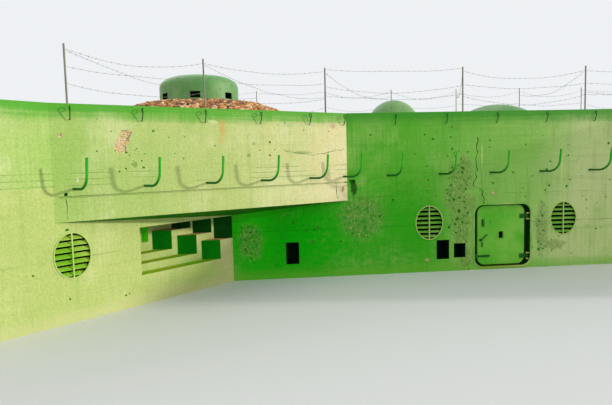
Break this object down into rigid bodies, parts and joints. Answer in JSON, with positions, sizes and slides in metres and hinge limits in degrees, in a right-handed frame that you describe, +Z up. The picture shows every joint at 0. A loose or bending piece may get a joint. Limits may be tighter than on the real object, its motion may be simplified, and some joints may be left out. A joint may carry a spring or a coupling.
{
  "type": "infantry casemate",
  "caption": "Low green concrete casemate with a recessed courtyard, canopied stepped embrasures, a hinged armoured door, louvred vents, wall hooks and armoured roof domes.",
  "frame": {"origin": "on the ground, in the middle of the building's outline", "axes": "+X along the courtyard wall, to the right when facing the door; +Y from the courtyard into the building; +Z up"},
  "size_m": [20.09, 8.9658, 4.58],
  "materials": {
    "floor_concrete": "rough cast, unpainted",
    "roof_concrete": "board-marked concrete, green lime paint, weathered",
    "flank_concrete": "board-marked concrete, sun-faded green paint",
    "canopy_concrete": "board-marked concrete, sun-faded green paint",
    "courtyard_concrete": "board-marked concrete, green paint, pitted",
    "rear_concrete": "board-marked concrete, green paint",
    "dome_steel": "cast armour steel, dark green paint",
    "rubble_stone": "rough broken stone",
    "hook_steel": "dark green paint, worn and rusted",
    "vent_steel": "green paint",
    "rusty_steel": "old galvanised steel, rusted",
    "worn_steel": "paint worn off, rusted",
    "frame_steel": "green paint",
    "door_steel": "green paint, slightly worn"
  },
  "bodies": {
    "bunker": {"back_wall": "rear_concrete", "barbed_wire": "rusty_steel", "courtyard_eyes": "hook_steel", "courtyard_hooks": "hook_steel", "courtyard_vents": "vent_steel", "courtyard_wall_left": "courtyard_concrete", "courtyard_wall_right": "courtyard_concrete", "dome_left": "dome_steel", "dome_middle": "dome_steel", "dome_right": "dome_steel", "door_frame": "frame_steel", "door_lintel": "courtyard_concrete", "door_threshold": "courtyard_concrete", "floor_slab": "floor_concrete", "frame_hinge_lugs": "worn_steel", "frame_staple": "worn_steel", "front_pickets": "rusty_steel", "left_canopy": "canopy_concrete", "left_canopy_eyes": "hook_steel", "left_canopy_hooks": "hook_steel", "left_embrasure_wall": "flank_concrete", "left_end_wall": "rear_concrete", "left_flank_vent": "vent_steel", "left_flank_wall": "flank_concrete", "left_wing_wall": "flank_concrete", "rear_pickets": "rusty_steel", "right_canopy": "canopy_concrete", "right_canopy_eyes": "hook_steel", "right_canopy_hooks": "hook_steel", "right_embrasure_wall": "flank_concrete", "right_end_wall": "rear_concrete", "right_flank_vent": "vent_steel", "right_flank_wall": "flank_concrete", "right_wing_wall": "flank_concrete", "roof_slab": "roof_concrete", "rubble_mound": "rubble_stone"},
    "door": {"door_bolt_bar": "door_steel", "door_hasp": "door_steel", "door_hinge_straps": "door_steel", "door_leaf": "door_steel", "door_lever": "door_steel", "door_lock": "door_steel", "door_port_rim": "door_steel"}
  },
  "joints": [
    {"name": "door_hinge", "type": "hinge", "parent": "bunker", "child": "door", "pos_m": [0.548, -1.07208, 0.69], "axis": [0, 0, 1], "range_deg": [0, 110]}
  ]
}
